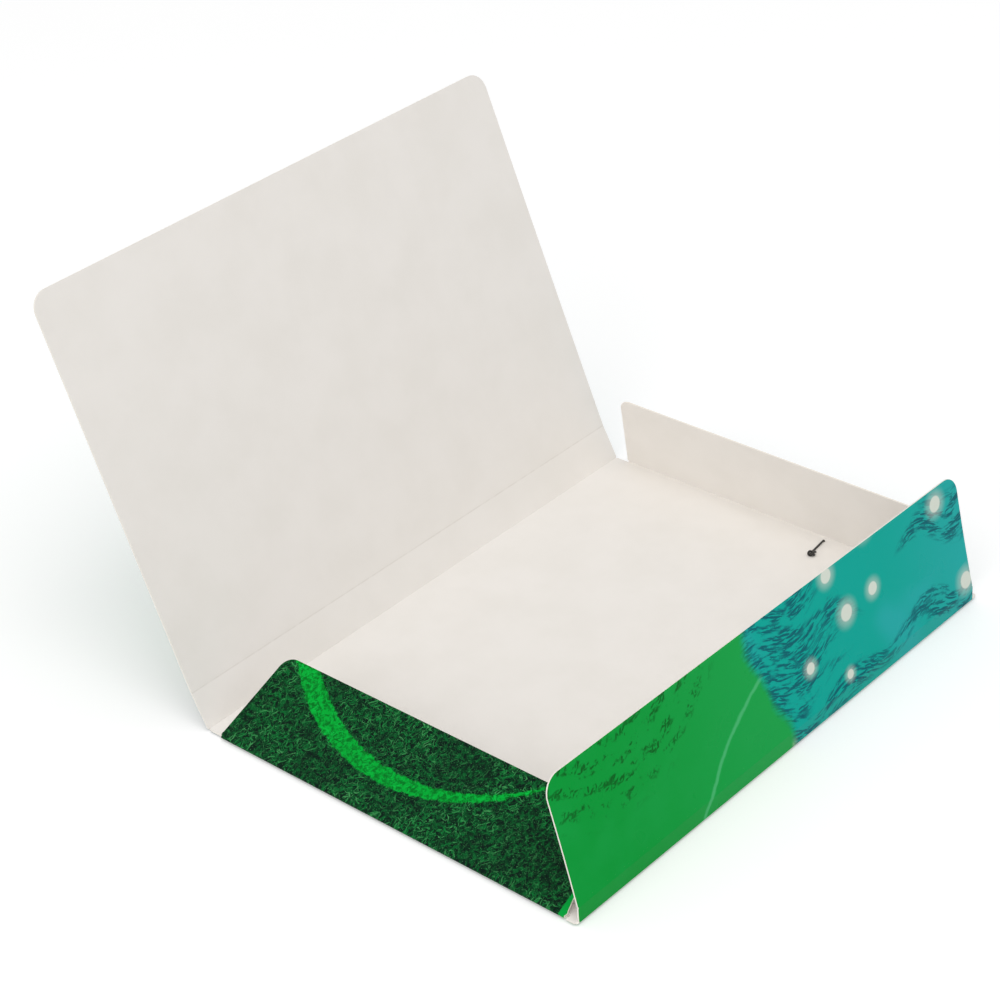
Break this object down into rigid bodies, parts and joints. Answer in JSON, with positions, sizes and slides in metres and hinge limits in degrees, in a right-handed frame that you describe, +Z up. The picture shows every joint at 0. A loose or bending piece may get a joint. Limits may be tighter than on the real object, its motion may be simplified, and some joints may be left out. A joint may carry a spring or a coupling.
{
  "type": "elastic closure portfolio",
  "caption": "Open card portfolio for A4 sheets: creased base, spine and cover, tail, head and fore flaps that fold in, and two black corner elastics.",
  "frame": {"origin": "middle of the base panel's underside, the face that the portfolio rests on", "axes": "+Z up out of the base's inner face; +Y from the tail crease to the head crease; +X from the spine crease to the fore crease"},
  "size_m": [0.327, 0.322, 0.2201],
  "materials": {
    "card_inside": "smooth uncoated board, cream, matt",
    "card_print": "printed green and teal, gloss laminated",
    "elastic_cord": "black braided elastic cord, matt"
  },
  "bodies": {
    "base": {"base_panel": "card_inside", "elastic_head": "elastic_cord", "elastic_tail": "elastic_cord"},
    "spine": {"spine_panel": "card_inside"},
    "cover": {"cover_panel": "card_inside"},
    "tail_flap": {"tail_flap": "card_print"},
    "head_flap": {"head_flap": "card_inside"},
    "fore_wall": {"fore_wall": "card_print"},
    "fore_flap": {"fore_flap": "card_print"}
  },
  "joints": [
    {"name": "spine_fold", "type": "hinge", "parent": "base", "child": "spine", "pos_m": [-0.12, 0, 0.00095], "axis": [0, 1, 0], "range_deg": [-63.7, 26.3]},
    {"name": "cover_fold", "type": "hinge", "parent": "spine", "child": "cover", "pos_m": [-0.12886, 0, 0.01888], "axis": [0, 1, 0], "range_deg": [-5.4, 58]},
    {"name": "tail_flap_fold", "type": "hinge", "parent": "base", "child": "tail_flap", "pos_m": [0, -0.16, 0.00095], "axis": [-1, 0, 0], "range_deg": [-148.6, 16]},
    {"name": "head_flap_fold", "type": "hinge", "parent": "base", "child": "head_flap", "pos_m": [0, 0.16, 0.00095], "axis": [1, 0, 0], "range_deg": [-105.5, 59]},
    {"name": "fore_wall_fold", "type": "hinge", "parent": "base", "child": "fore_wall", "pos_m": [0.12, 0, 0.00095], "axis": [0, -1, 0], "range_deg": [-90, 0]},
    {"name": "fore_flap_fold", "type": "hinge", "parent": "fore_wall", "child": "fore_flap", "pos_m": [0.12, 0, 0.00895], "axis": [0, -1, 0], "range_deg": [-12.7, 10]}
  ]
}
